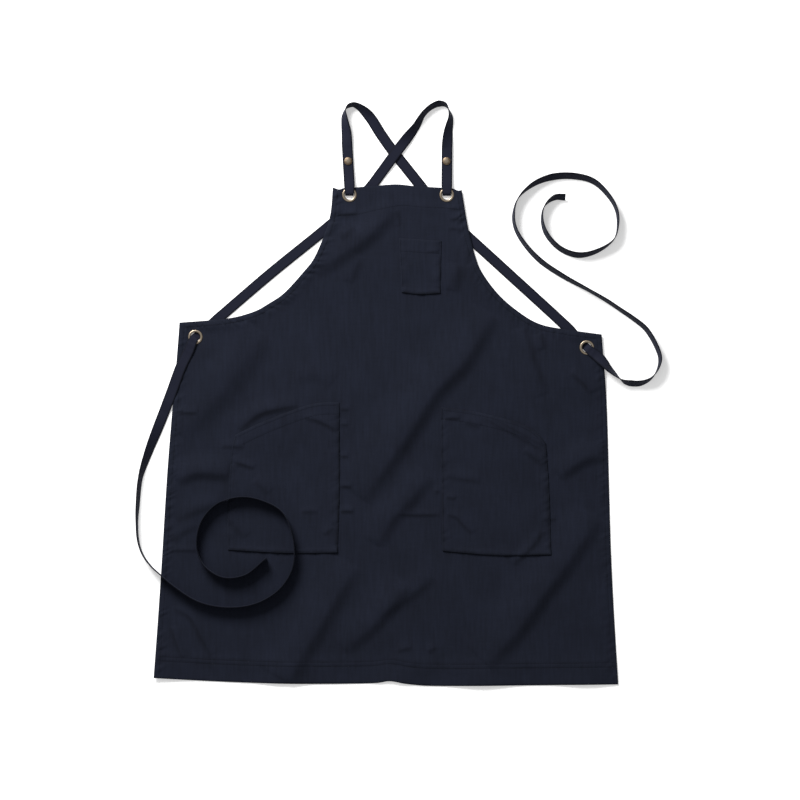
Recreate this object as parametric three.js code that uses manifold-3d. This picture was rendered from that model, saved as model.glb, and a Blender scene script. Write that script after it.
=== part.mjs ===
// A cross-back bib apron of navy cotton twill, laid out flat with its front up.
// One cut panel carries a chest pocket and two slant-mouthed hip pockets. Each shoulder strap is folded
// through an eyelet at the top of the bib, held by a snap, crosses behind the neck, runs behind the bib to
// the opposite waist corner and comes up through an eyelet there as a free tie.
// Millimetres, +Z up from the surface it lies on, +Y towards the neck, +X to the right of the laid front.
import * as THREE from "three";
import { mergeVertices } from "three/addons/utils/BufferGeometryUtils.js";
import Module from "manifold-3d";

const wasm = await Module();
wasm.setup();

// Driving dimensions
const CLOTH = 1.2; // one layer of twill
const GAP = 0.3; // clearance between pieces that touch
const STRAP_WIDTH = 20;
const STRAP_THICK = 1.8;
const STRAP_STEP = 14; // longest straight stretch of a strap's facets
const WEAVE_CELL = 27; // side of the panel's facets
const EYELET = { hole: 8.8, barrel: 9.8, flange: 13.6, plate: 1, crown: 1.3, round: 0.35, sides: 18 };
const SNAP = { cap: 7.5, dome: 2.2, post: 2, stud: 5.5, plate: 1.2, round: 0.4, sides: 18 };
const SNAP_FOLD = { under: 1.6, over: 3.75 }; // heights of the two strap layers that a snap holds together
const STRAP_PLAY = 0.2; // spare height for a strap under an eyelet
const STRAP_REACH = 0.6 * STRAP_WIDTH; // how far round its line a strap feels the cloth that it lies on
const POCKET_GAPE = { height: 3.5, reach: 55 }; // how far a hip pocket's mouth stands off the panel
const CURVE_PARTS = 3; // facets between two points of a curved edge
const CUT_DEPTH = 60; // height of the cutters that give the cloth its outline
const WELD = 1e-4; // corners closer than this are one
const UPRIGHT = 0.1; // a strap with less than this share of its run level goes straight up or down

// The panel stands clear of the floor where a strap and an eyelet's back plate lie under it.
const SEAT = STRAP_THICK + EYELET.plate + 2 * GAP + STRAP_PLAY;
const SEAT_FLAT = 52; // radius round an eyelet that stays level
const SEAT_FADE = 115; // radius at which the panel is back on the floor
const BIB_RAMP = { low: 140, high: 250 }; // the bib rises from the floor between these heights
const SETTLE = 0.6; // cloth raised less than this lies flat

const table = (columns, rows) =>
  rows.map((row) => Object.fromEntries(columns.split(" ").map((name, i) => [name, row[i]])));

const EYELETS = table("name x y", [
  ["eyelet_bib_left", -67, 368.5],
  ["eyelet_bib_right", 114, 368.5],
  ["eyelet_waist_left", -353.4, 104.2],
  ["eyelet_waist_right", 374.4, 84.6],
]);

const SNAPS = table("name x y", [
  ["snap_left", -69.5, 431],
  ["snap_right", 113.5, 431],
]);

// The cut edges of the panel, from the left hem corner round to it again
const PANEL_EDGES = table("edge points", [
  [
    "hem",
    [[-431, -530], [-302, -537], [-167, -541], [-29, -540], [8, -536], [46, -542], [120, -545], [433, -542]],
  ],
  ["right side", [[433, -542], [420, -311], [412, -35], [405, 69], [402, 109]]],
  [
    "right armhole",
    [
      [402, 109], [330, 119], [288, 128], [254, 146.5], [213.5, 180],
      [181.5, 221], [167.5, 253], [153.5, 309], [142, 377.5],
    ],
  ],
  [
    "bib top",
    [
      [142, 377.5], [134, 376.5], [124, 380.5], [101, 382], [57, 384.5], [21, 388],
      [-17, 385.5], [-55, 382.5], [-78, 381], [-86, 378.5], [-98, 382.5],
    ],
  ],
  [
    "left armhole",
    [
      [-98, 382.5], [-104.5, 323], [-130, 256], [-153.5, 224], [-188.5, 186],
      [-217, 166.5], [-246, 151], [-295, 138.5], [-383, 131],
    ],
  ],
  ["left side", [[-383, 131], [-388.5, 60], [-405, -136], [-418, -344], [-431, -530]]],
]);

const BIB_POCKET_EDGES = table("edge points", [
  ["mouth", [[104, 283], [25, 288]]],
  ["left seam", [[25, 288], [30, 187]]],
  ["bottom", [[30, 187], [66, 183], [102, 185.5]]],
  ["right seam", [[102, 185.5], [104, 283]]],
]);

const LEFT_HIP_EDGES = table("edge points", [
  ["mouth", [[-86, -17], [-139, -21], [-220, -50], [-280, -78]]],
  ["outer seam", [[-280, -78], [-288, -121], [-293, -234], [-293, -292]]],
  ["bottom", [[-293, -292], [-185, -298], [-89, -297]]],
  ["inner seam", [[-89, -297], [-85, -164], [-86, -17]]],
]);

const RIGHT_HIP_EDGES = table("edge points", [
  ["mouth", [[298, -94], [285, -77], [265, -63], [230, -50], [168, -35], [103, -26]]],
  ["inner seam", [[103, -26], [106, -294]]],
  ["bottom", [[106, -294], [205, -302], [308, -301]]],
  ["outer seam", [[308, -301], [304, -177], [298, -94]]],
]);

// Soft folds of the laid cloth: crest lines drawn from upper right to lower left, with the half width of the
// slope on the upper left and of the steeper slope on the lower right
const FOLDS = table("height upper lower crest", [
  [7, 40, 20, [[16, 346], [-45, 286], [-81, 262], [-131, 228]]],
  [9, 50, 24, [[196, 148], [142, 59], [90, 5], [46, -63], [0, -130], [-46, -196]]],
  [6, 32, 20, [[80, -150], [42, -196], [10, -230], [-18, -282]]],
  [7, 45, 24, [[-60, -320], [-107, -400], [-156, -484], [-186, -536]]],
  [6, 35, 20, [[38, -352], [-14, -418], [-80, -476]]],
  [8, 45, 24, [[393, -228], [342, -304], [288, -376], [242, -440], [184, -502]]],
  [7, 45, 26, [[-230, 114], [-288, 30], [-322, -8], [-386, -76]]],
  [7, 26, 20, [[-290, -149], [-352, -145], [-390, -160]]],
  [6, 28, 20, [[410, -114], [380, -116], [340, -138], [320, -154]]],
]);

// Places where the edge of the cloth stands a little off the floor
const EDGE_LIFTS = table("x y height radius", [
  [-430, -530, 6, 60],
  [-190, -541, 4.5, 45],
  [15, -540, 4.5, 35],
  [180, -545, 6, 55],
  [375, -542, 5, 50],
]);

// Strap routes. Lift is the height of the strap's lower edge over the floor. Roll turns the strap about its
// own length: 0 and 180 lie flat, 90 stands on edge. The webbing cups a little where it is narrower.
// Each shoulder strap starts with a fold: its end lies under the strap, runs down behind the bib, comes up
// through the eyelet and turns back over the bib's top edge.
const SNAPPED_FOLD = table("y lift width", [
  [452, SNAP_FOLD.under, 20],
  [442, SNAP_FOLD.under, 20],
  [420, SNAP_FOLD.under, 20],
  [402, 0.9, 20],
  [386, 0.15, 19],
  [376, 0.1, 16.5],
  [370.5, 0.3, 16],
  [367.5, 3.4, 16],
  [370.5, 6.5, 16],
  [376, 6.9, 18],
  [386, 6.5, 20],
  [402, 4.7, 20],
  [420, SNAP_FOLD.over, 20],
  [442, SNAP_FOLD.over, 20],
]);
const FOLD_LEAN = { low: 386, high: 456 }; // the fold leans from its eyelet to the loop between these

const STRAP_LEFT = table("x y lift roll width", [
  [-71, 456, 3.4, 2, 20],
  [-72.5, 485, 0.5, 26, 20],
  [-74.5, 499, 0.1, 43, 20],
  [-76, 513, 0.1, 58, 20],
  [-74.5, 527, 0.1, 88, 20],
  [-68.5, 533.5, 0.1, 106, 20],
  [-59.5, 536, 0.1, 112, 20],
  [-45, 529, 0.1, 129, 20],
  [-29, 513, 0.1, 166, 20],
  [-9, 482, 0.1, 180, 20],
  [12, 452.2, 0.1, 180, 20],
  [39, 418.2, 0.1, 180, 20],
  [66, 384.2, 0.1, 180, 20],
  [96, 346.4, 0.1, 180, 20],
  [110, 331.2, 0.1, 180, 20],
  [213.3, 236.3, 0.1, 180, 19.5],
  [342, 118, 0.1, 180, 19.5],
  [352, 107.2, 0.1, 180, 18],
  [359.6, 99.6, 0.1, 180, 16],
]);

const STRAP_RIGHT = table("x y lift roll width", [
  [114.5, 456, 3.4, -2, 20],
  [116.5, 485, 0.5, -36, 20],
  [119, 499, 0.1, -50, 20],
  [121, 513, 0.1, -66, 20],
  [117.5, 527, 0.1, -88, 20],
  [111, 536, 0.1, -108, 20],
  [100, 538, 0.1, -121, 20],
  [87, 533, 0.1, -117, 20],
  [76, 524.5, 0.1, -115, 20],
  [68, 515, 0.1, -117, 20],
  [57, 495.5, 0.5, -133, 20],
  [38.5, 471.5, 2, -166, 20],
  [28, 458, 2.5, -180, 20],
  [8, 431, 2.5, -180, 20],
  [-8, 409, 0.7, -180, 20],
  [-26, 385, 0.1, -180, 20],
  [-55, 353.5, 0.1, -180, 20],
  [-111.5, 304.8, 0.1, -180, 20],
  [-213.2, 222.4, 0.1, -180, 20],
  [-313, 136.9, 0.1, -180, 19.5],
  [-336.4, 117.2, 0.1, -180, 16],
]);

// Tie routes. Over is the share of the cloth's own height that the tie lies on.
const TIE_RIGHT = table("x y over lift roll width", [
  [359.9, 99.3, 0, 0.1, 0, 16],
  [368.7, 90.3, 0, 0.1, 0, 15],
  [372.1, 86.9, 0, 0.25, 0, 15],
  [374.4, 84.6, 0, 3.4, 0, 15],
  [376.7, 82.3, 0, 6.75, 0, 15.5],
  [382, 77.6, 0, 6.9, 0, 17.5],
  [393, 69.5, 1, 1.2, 8, 19.5],
  [404, 58.5, 1, 0.6, 33, 20],
  [411, 50.5, 1, 0.4, 46, 20],
  [417.6, 43.5, 0.5, 0.4, 57, 20],
  [427, 34.2, 0, 0.3, 70, 20],
  [436, 26.4, 0, 0.1, 88, 20],
  [446, 20.6, 0, 0.1, 112, 20],
  [456, 18.2, 0, 0.1, 122, 20],
  [473, 18, 0, 0.1, 119, 20],
  [492, 26, 0, 0.1, 102, 20],
  [504.5, 41, 0, 0.1, 86, 20],
  [510.5, 62, 0, 0.1, 74, 20],
  [506, 81, 0, 0.1, 70, 20],
  [485, 118, 0, 0.1, 68, 20],
  [464, 136, 0, 0.1, 69, 20],
  [437, 154.5, 0, 0.1, 72, 20],
  [410, 172.5, 0, 0.1, 73, 20],
  [378, 191, 0, 0.1, 76, 20],
  [327, 219, 0, 0.1, 67, 20],
  [287, 246.5, 0, 0.1, 65, 20],
  [258.5, 277, 0, 0.1, 70, 20],
  [242, 305, 0, 0.1, 75, 20],
  [238, 330, 0, 0.1, 78, 20],
  [246, 361, 0, 0.1, 90, 20],
  [274, 387.5, 0, 0.1, 112, 20],
  [310, 401.5, 0, 0.1, 125, 20],
  [352, 403, 0, 0.1, 123, 20],
  [386.5, 393.5, 0, 0.1, 117, 20],
  [412.5, 369.5, 0, 0.1, 110, 20],
  [429, 341.5, 0, 0.1, 104, 20],
  [432, 313, 0, 0.1, 98, 20],
  [425, 286.5, 0, 0.1, 88, 20],
  [393.5, 264, 0, 0.1, 70, 20],
  [358, 256.5, 0, 0.1, 61, 20],
  [324, 269, 0, 0.1, 65, 20],
  [298, 298, 0, 0.1, 69, 20],
  [291, 327, 0, 0.1, 82, 20],
  [296, 348, 0, 0.1, 92, 20],
  [315, 363.5, 0, 0.1, 118, 20],
  [334.5, 364, 0, 0.1, 123, 20],
]);

const TIE_LEFT = table("x y over lift roll width", [
  [-336.8, 116.9, 0, 0.1, 0, 16],
  [-347, 109.1, 0, 0.1, 0, 15],
  [-350.8, 106.4, 0, 0.25, 0, 15],
  [-353.4, 104.2, 0, 3.4, 0, 15],
  [-355.5, 101.6, 0, 6.75, 0, 15.5],
  [-359.4, 94, 0, 6.9, 0, 17.5],
  [-366, 78, 1, 1.4, 0, 19.5],
  [-380.5, 48, 1, 0.8, 0, 20],
  [-396, 6, 1, 0.5, 0, 20],
  [-411, -34, 1, 0.3, 4, 20],
  [-423.5, -66, 0.4, 0.3, 20, 20],
  [-440.5, -110, 0, 0.1, 44, 20],
  [-455.5, -158, 0, 0.1, 69, 20],
  [-460.5, -208, 0, 0.1, 73, 20],
  [-462, -240, 0, 0.1, 82, 20],
  [-459.5, -275, 0, 0.1, 84, 20],
  [-451.5, -299.5, 0, 0.1, 86, 20],
  [-436, -321.5, 0.5, 0.8, 88, 20],
  [-418, -338, 1, 0.8, 90, 20],
  [-393, -359, 1, 0.8, 90, 20],
  [-346, -388, 1, 0.8, 90, 20],
  [-291, -398, 1, 0.8, 90, 20],
  [-239, -390, 1, 0.8, 90, 20],
  [-197, -364, 1, 0.8, 90, 20],
  [-173, -325, 1, 0.8, 90, 20],
  [-171, -276, 1, 0.8, 90, 20],
  [-191, -222, 1, 0.8, 90, 20],
  [-231, -199, 1, 0.8, 90, 20],
  [-271, -193, 1, 0.8, 90, 20],
  [-315, -207, 1, 0.8, 90, 20],
  [-343, -240, 1, 0.8, 90, 20],
  [-351, -285, 1, 0.8, 90, 20],
  [-338, -319, 1, 0.8, 90, 20],
  [-303, -342, 1, 0.8, 90, 20],
  [-262, -338, 1, 0.8, 90, 20],
  [-222, -307, 1, 0.8, 90, 20],
]);

const { clamp, degToRad, inverseLerp, lerp, smoothstep } = THREE.MathUtils;

// A closed geometry as a solid for cutting, and back
function solidOf(geometry) {
  const bare = new THREE.BufferGeometry();
  bare.setAttribute("position", geometry.getAttribute("position"));
  bare.setIndex(geometry.getIndex());
  const merged = mergeVertices(bare, WELD);
  return new wasm.Manifold(
    new wasm.Mesh({
      numProp: 3,
      vertProperties: merged.getAttribute("position").array,
      triVerts: new Uint32Array(merged.getIndex().array),
    }),
  );
}

function geometryOf(solid) {
  const mesh = solid.getMesh();
  const geometry = new THREE.BufferGeometry();
  geometry.setAttribute("position", new THREE.BufferAttribute(mesh.vertProperties, 3));
  geometry.setIndex(new THREE.BufferAttribute(mesh.triVerts, 1));
  geometry.computeVertexNormals();
  return geometry;
}

// A flat outline whose edges are smooth curves that meet in corners
function outlineShape(edges) {
  const shape = new THREE.Shape();
  edges.forEach(({ points }, i) => {
    const [first, ...rest] = points.map(([x, y]) => new THREE.Vector2(x, y));
    if (i === 0) shape.moveTo(first.x, first.y);
    if (rest.length === 1) shape.lineTo(rest[0].x, rest[0].y);
    else shape.splineThru(rest);
  });
  return shape;
}

function outlineCutter(edges) {
  const cutter = new THREE.ExtrudeGeometry(outlineShape(edges), {
    depth: CUT_DEPTH,
    bevelEnabled: false,
    curveSegments: CURVE_PARTS,
  });
  cutter.translate(0, 0, -CUT_DEPTH / 2);
  return solidOf(cutter);
}

// Height of one fold over the floor at a point
function foldHeight({ height, upper, lower, crest }, x, y) {
  const lengths = crest.slice(1).map(([bx, by], i) => Math.hypot(bx - crest[i][0], by - crest[i][1]));
  const whole = lengths.reduce((sum, length) => sum + length, 0);
  let nearest = { away: Infinity, along: 0, side: 1 };
  let before = 0;
  lengths.forEach((length, i) => {
    const [ax, ay] = crest[i];
    const [ux, uy] = [(crest[i + 1][0] - ax) / length, (crest[i + 1][1] - ay) / length];
    const run = clamp((x - ax) * ux + (y - ay) * uy, 0, length);
    const away = Math.hypot(x - ax - run * ux, y - ay - run * uy);
    const side = ux * (y - ay) - uy * (x - ax);
    if (away < nearest.away) nearest = { away, along: (before + run) / whole, side };
    before += length;
  });
  const reach = nearest.side > 0 ? lower : upper;
  const taper = Math.sqrt(Math.sin(Math.PI * nearest.along));
  return height * taper * Math.exp(-((nearest.away / reach) ** 2));
}

// Height of the panel's underside over the floor
function clothHeight(x, y) {
  let raised = 0;
  for (const fold of FOLDS) raised += foldHeight(fold, x, y);
  for (const lift of EDGE_LIFTS) {
    raised += lift.height * Math.exp(-(((x - lift.x) ** 2 + (y - lift.y) ** 2) / lift.radius ** 2));
  }
  let seat = SEAT * smoothstep(y, BIB_RAMP.low, BIB_RAMP.high);
  for (const eyelet of EYELETS) {
    const near = 1 - smoothstep(Math.hypot(x - eyelet.x, y - eyelet.y), SEAT_FLAT, SEAT_FADE);
    seat = Math.max(seat, SEAT * near);
    raised *= 1 - near;
  }
  return Math.max(0, raised - SETTLE) + seat;
}

// A sheet that follows the folds over a rectangle of whole facets, as a closed slab
function clothSlab(edges, underside) {
  const corners = edges.flatMap(({ points }) => points.map(([x, y]) => new THREE.Vector2(x, y)));
  const box = new THREE.Box2().setFromPoints(corners);
  const first = box.min.divideScalar(WEAVE_CELL).floor().subScalar(1);
  const last = box.max.divideScalar(WEAVE_CELL).ceil().addScalar(1);
  const columns = last.x - first.x;
  const rows = last.y - first.y;
  const positions = [];
  for (const face of [0, CLOTH]) {
    for (let j = 0; j <= rows; j++) {
      for (let i = 0; i <= columns; i++) {
        const x = (first.x + i) * WEAVE_CELL;
        const y = (first.y + j) * WEAVE_CELL;
        positions.push(x, y, underside(x, y) + face);
      }
    }
  }
  const layer = (columns + 1) * (rows + 1);
  const index = [];
  const quad = (a, b, c, d) => index.push(a, b, c, a, c, d);
  for (let j = 0; j < rows; j++) {
    for (let i = 0; i < columns; i++) {
      const a = j * (columns + 1) + i;
      const b = a + 1;
      const d = a + columns + 1;
      const c = d + 1;
      quad(layer + a, layer + b, layer + c, layer + d);
      index.push(a, c, b, a, d, c);
    }
  }
  const wall = (from, to) => quad(from, to, layer + to, layer + from);
  for (let i = 0; i < columns; i++) {
    wall(i, i + 1);
    wall(rows * (columns + 1) + i + 1, rows * (columns + 1) + i);
  }
  for (let j = 0; j < rows; j++) {
    wall((j + 1) * (columns + 1), j * (columns + 1));
    wall(j * (columns + 1) + columns, (j + 1) * (columns + 1) + columns);
  }
  const slab = new THREE.BufferGeometry();
  slab.setAttribute("position", new THREE.Float32BufferAttribute(positions, 3));
  slab.setIndex(index);
  return solidOf(slab).intersect(outlineCutter(edges));
}

function roundCutter(radius, x, y) {
  const cutter = new THREE.CylinderGeometry(radius, radius, CUT_DEPTH, EYELET.sides);
  cutter.rotateX(Math.PI / 2).translate(x, y, 0);
  return solidOf(cutter);
}

// The pieces of cloth, from the bottom up, each with the height of its underside
const pocketOn = (gapeAt) => (x, y) => {
  const apart = gapeAt ? Math.hypot(x - gapeAt[0], y - gapeAt[1]) / POCKET_GAPE.reach : Infinity;
  return clothHeight(x, y) + CLOTH + GAP + POCKET_GAPE.height * Math.exp(-apart * apart);
};
const CLOTHS = table("name edges underside", [
  ["body_panel", PANEL_EDGES, clothHeight],
  ["bib_pocket", BIB_POCKET_EDGES, pocketOn(null)],
  ["hip_pocket_left", LEFT_HIP_EDGES, pocketOn([-215, -50])],
  ["hip_pocket_right", RIGHT_HIP_EDGES, pocketOn([235, -55])],
]);

function clothGeometry({ name, edges, underside }) {
  let cloth = clothSlab(edges, underside);
  if (name === "body_panel") {
    for (const { x, y } of EYELETS) cloth = cloth.subtract(roundCutter(EYELET.barrel + GAP, x, y));
  }
  return geometryOf(cloth);
}

function isInside(outline, x, y) {
  let inside = false;
  outline.forEach((a, i) => {
    const b = outline[(i + 1) % outline.length];
    if (a.y > y !== b.y > y && x < ((b.x - a.x) * (y - a.y)) / (b.y - a.y) + a.x) inside = !inside;
  });
  return inside;
}

// Height of whatever a strap lies on near a point: the topmost face of cloth there, or the floor
const outlines = CLOTHS.map(({ edges }) => outlineShape(edges).getPoints(CURVE_PARTS));
function restHeight(x, y) {
  const around = [[0, 0], [STRAP_REACH, 0], [-STRAP_REACH, 0], [0, STRAP_REACH], [0, -STRAP_REACH]];
  const faces = around.flatMap(([dx, dy]) =>
    CLOTHS.map(({ underside }, i) =>
      isInside(outlines[i], x + dx, y + dy) ? underside(x + dx, y + dy) + CLOTH + GAP : 0,
    ),
  );
  return Math.max(...faces);
}

// Points along a route, each with its place, roll and width
function routeSamples(route) {
  const path = new THREE.CatmullRomCurve3(route.map(({ x, y, lift }) => new THREE.Vector3(x, y, lift)));
  const samples = [];
  route.slice(1).forEach((to, i) => {
    const from = route[i];
    const parts = Math.max(1, Math.round(Math.hypot(to.x - from.x, to.y - from.y) / STRAP_STEP));
    for (let k = i === 0 ? 0 : 1; k <= parts; k++) {
      const share = k / parts;
      const at = path.getPoint((i + share) / (route.length - 1));
      const roll = degToRad(lerp(from.roll, to.roll, share));
      const width = lerp(from.width, to.width, share);
      const over = lerp(from.over ?? 0, to.over ?? 0, share);
      const half = (width * Math.abs(Math.sin(roll)) + STRAP_THICK * Math.abs(Math.cos(roll))) / 2;
      at.z += half + over * restHeight(at.x, at.y);
      samples.push({ at, roll, width });
    }
  });
  return samples;
}

// A flat strap swept along a route, closed at both ends. firstSide is the way its width points at the start.
function strapGeometry(route, firstSide) {
  const samples = routeSamples(route);
  const up = new THREE.Vector3(0, 0, 1);
  const positions = [];
  let side = new THREE.Vector3(...firstSide).normalize();
  samples.forEach(({ at, roll, width }, i) => {
    const ahead = samples[Math.min(i + 1, samples.length - 1)].at;
    const behind = samples[Math.max(i - 1, 0)].at;
    const along = ahead.clone().sub(behind).normalize();
    const level = along.clone().cross(up);
    if (level.length() < UPRIGHT) level.copy(side).addScaledVector(along, -side.dot(along));
    level.normalize();
    side = level.dot(side) < 0 ? level.negate() : level;
    const face = side.clone().cross(along);
    const across = side.clone().multiplyScalar(Math.cos(roll)).addScaledVector(face, Math.sin(roll));
    const through = across.clone().cross(along);
    for (const [w, t] of [[1, 1], [-1, 1], [-1, -1], [1, -1]]) {
      const corner = at.clone();
      corner.addScaledVector(across, (w * width) / 2);
      corner.addScaledVector(through, (t * STRAP_THICK) / 2);
      positions.push(...corner.toArray());
    }
  });
  const index = [0, 1, 2, 0, 2, 3];
  for (let i = 0; i < samples.length - 1; i++) {
    for (let k = 0; k < 4; k++) {
      const a = 4 * i + k;
      const b = 4 * i + ((k + 1) % 4);
      index.push(a, a + 4, b + 4, a, b + 4, b);
    }
  }
  const end = 4 * (samples.length - 1);
  index.push(end, end + 2, end + 1, end, end + 3, end + 2);
  const strap = new THREE.BufferGeometry();
  strap.setAttribute("position", new THREE.Float32BufferAttribute(positions, 3));
  strap.setIndex(index);
  return strap;
}

// A shoulder strap from its snapped fold to the waist, with the hole that its snap's post goes through
function snappedStrap(eyelet, snap, loop) {
  const fold = SNAPPED_FOLD.map(({ y, lift, width }) => {
    const lean = clamp(inverseLerp(FOLD_LEAN.low, FOLD_LEAN.high, y), 0, 1);
    return { x: lerp(eyelet.x, loop[0].x, lean), y, lift, roll: 0, width };
  });
  const strap = solidOf(strapGeometry([...fold, ...loop], [1, 0, 0]));
  return geometryOf(strap.subtract(roundCutter(SNAP.post + GAP, snap.x, snap.y)));
}

// A ring turned about a vertical axis, from radius and height pairs that close on themselves
function turned(profile, sides) {
  const points = profile.map(([radius, height]) => new THREE.Vector2(radius, height));
  return new THREE.LatheGeometry(points, sides).rotateX(Math.PI / 2);
}

// Points of a half round that rises over a level line, from its outer end to its inner end
function halfRound(outer, inner, level, height, angles) {
  const middle = (outer + inner) / 2;
  const reach = (outer - inner) / 2;
  return angles.map(degToRad).map((a) => [middle + reach * Math.cos(a), level + height * Math.sin(a)]);
}

// A brass eyelet: a back plate, a barrel through the cloth and a rolled front rim, with its zero at the
// panel's underside
function eyeletGeometry() {
  const { hole, barrel, flange, plate, crown, round, sides } = EYELET;
  const face = CLOTH + GAP;
  return turned(
    [
      [hole, round - GAP - plate],
      [hole + round, -GAP - plate],
      [flange - round, -GAP - plate],
      [flange, -GAP],
      [barrel, -GAP],
      [barrel, face],
      ...halfRound(flange, hole, face, crown, [0, 45, 90, 135, 180]),
      [hole, round - GAP - plate],
    ],
    sides,
  );
}

// A snap: a domed cap on the strap's face, a post through both layers and a stud behind them
function snapGeometry() {
  const { cap, dome, post, stud, plate, round, sides } = SNAP;
  const seat = SNAP_FOLD.over + STRAP_THICK + GAP;
  return turned(
    [
      [0, 0],
      [stud - round, 0],
      [stud, round],
      [stud, plate],
      [post, plate],
      [post, seat],
      [cap - round, seat],
      ...halfRound(cap, -cap, seat + round, dome - round, [0, 35, 65]),
      [0, seat + dome],
    ],
    sides,
  );
}

const twill = new THREE.MeshStandardMaterial({ color: 0x21242f, roughness: 0.92, metalness: 0 });
const webbing = new THREE.MeshStandardMaterial({ color: 0x232735, roughness: 0.88, metalness: 0 });
const brass = new THREE.MeshStandardMaterial({ color: 0xa58a5e, roughness: 0.35, metalness: 1 });

const apron = new THREE.Group();
apron.name = "bib_apron";

function addPiece(name, geometry, material, place = [0, 0, 0]) {
  const piece = new THREE.Mesh(geometry, material.clone());
  piece.name = name;
  piece.position.set(...place);
  apron.add(piece);
}

for (const cloth of CLOTHS) addPiece(cloth.name, clothGeometry(cloth), twill);
for (const { name, x, y } of EYELETS) addPiece(name, eyeletGeometry(), brass, [x, y, SEAT]);
addPiece("strap_left", snappedStrap(EYELETS[0], SNAPS[0], STRAP_LEFT), webbing);
addPiece("strap_right", snappedStrap(EYELETS[1], SNAPS[1], STRAP_RIGHT), webbing);
for (const { name, x, y } of SNAPS) addPiece(name, snapGeometry(), brass, [x, y, 0]);
addPiece("tie_left", strapGeometry(TIE_LEFT, [-1, 1, 0]), webbing);
addPiece("tie_right", strapGeometry(TIE_RIGHT, [-1, -1, 0]), webbing);

export default apron;
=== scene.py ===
# A cross-back bib apron of navy twill, laid out on a plain white floor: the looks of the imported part.
# Blender works in metres in the row frame, +Z up from the floor and +Y towards the neck. Sizes in this
# script are millimetres, and each mesh is scaled to metres as it is made.
import math

import bpy
import numpy as np
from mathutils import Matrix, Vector
from mathutils.geometry import delaunay_2d_cdt
from mathutils.kdtree import KDTree


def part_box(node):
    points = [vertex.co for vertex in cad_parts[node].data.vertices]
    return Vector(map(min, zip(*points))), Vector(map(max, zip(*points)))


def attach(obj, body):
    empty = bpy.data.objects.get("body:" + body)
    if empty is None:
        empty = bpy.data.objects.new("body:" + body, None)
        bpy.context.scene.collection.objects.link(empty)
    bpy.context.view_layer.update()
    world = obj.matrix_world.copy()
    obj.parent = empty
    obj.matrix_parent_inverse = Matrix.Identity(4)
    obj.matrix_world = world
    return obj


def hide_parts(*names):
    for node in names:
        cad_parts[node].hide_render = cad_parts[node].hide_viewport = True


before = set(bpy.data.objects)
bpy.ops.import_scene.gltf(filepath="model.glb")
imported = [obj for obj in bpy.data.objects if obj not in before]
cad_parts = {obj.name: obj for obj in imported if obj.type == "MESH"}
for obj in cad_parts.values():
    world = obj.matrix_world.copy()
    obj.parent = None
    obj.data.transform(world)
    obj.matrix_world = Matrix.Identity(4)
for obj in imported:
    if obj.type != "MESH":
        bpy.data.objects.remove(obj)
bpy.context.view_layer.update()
MM = 0.001

# View, floor and light. The apron is seen straight from above through a long lens, nearly without
# perspective, on a large plain white floor. One big soft light stands at the upper left, and the bright room
# all round fills the shadows, so that the floor shows as white.
VIEW_CENTRE = (27, -13)
VIEW_SPAN = 1488
CAMERA_HEIGHT = 10000
SENSOR = 36
FLOOR_SIDE = 120000
FLOOR_DROP = 0.1
FLOOR_WHITE = 0.86
FLOOR_GLOW = 0.35
ROOM_LIGHT = 0.42
KEY_AT = (-1500, 2500, 2115)
KEY_SIZE = 1500
KEY_POWER = 240

scene = bpy.context.scene
scene.view_settings.view_transform = "Standard"
scene.view_settings.look = "None"

camera = bpy.data.objects.new("camera", bpy.data.cameras.new("camera"))
camera.data.sensor_width = SENSOR
camera.data.lens = SENSOR * CAMERA_HEIGHT / VIEW_SPAN
camera.data.clip_end = 2 * FLOOR_SIDE * MM
camera.location = Vector((*VIEW_CENTRE, CAMERA_HEIGHT)) * MM
scene.collection.objects.link(camera)
scene.camera = camera

key_light = bpy.data.objects.new("key_light", bpy.data.lights.new("key_light", "AREA"))
key_light.data.size = KEY_SIZE * MM
key_light.data.energy = KEY_POWER
key_light.location = Vector(KEY_AT) * MM
key_light.rotation_euler = (-Vector(KEY_AT)).to_track_quat("-Z", "Y").to_euler()
key_light.visible_camera = False
scene.collection.objects.link(key_light)

room = bpy.data.worlds.new("room")
room.use_nodes = True
room.node_tree.nodes["Background"].inputs["Color"].default_value = (1.0, 1.0, 1.0, 1.0)
room.node_tree.nodes["Background"].inputs["Strength"].default_value = ROOM_LIGHT
scene.world = room


def new_material(name, colour, roughness, specular=0.5, metallic=0.0):
    """A material with one Principled shader, and that shader."""
    material = bpy.data.materials.new(name)
    material.use_nodes = True
    shader = material.node_tree.nodes["Principled BSDF"]
    shader.inputs["Base Color"].default_value = (*colour, 1.0)
    shader.inputs["Roughness"].default_value = roughness
    shader.inputs["Specular IOR Level"].default_value = specular
    shader.inputs["Metallic"].default_value = metallic
    return material, shader


def mesh_object(name, points, faces, material):
    """A smooth object from points in millimetres."""
    mesh = bpy.data.meshes.new(name)
    mesh.from_pydata((np.asarray(points, float) * MM).tolist(), [], faces)
    mesh.shade_smooth()
    mesh.materials.append(material)
    thing = bpy.data.objects.new(name, mesh)
    scene.collection.objects.link(thing)
    return thing


floor_material, floor_shader = new_material("floor_white", (FLOOR_WHITE,) * 3, 0.9, specular=0.0)
floor_shader.inputs["Emission Color"].default_value = (1.0, 1.0, 1.0, 1.0)
floor_shader.inputs["Emission Strength"].default_value = FLOOR_GLOW
half_floor = FLOOR_SIDE / 2
floor_corners = [
    (x * half_floor, y * half_floor, -FLOOR_DROP) for x, y in ((-1, -1), (1, -1), (1, 1), (-1, 1))
]
mesh_object("floor", floor_corners, [(0, 1, 2, 3)], floor_material)

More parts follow.
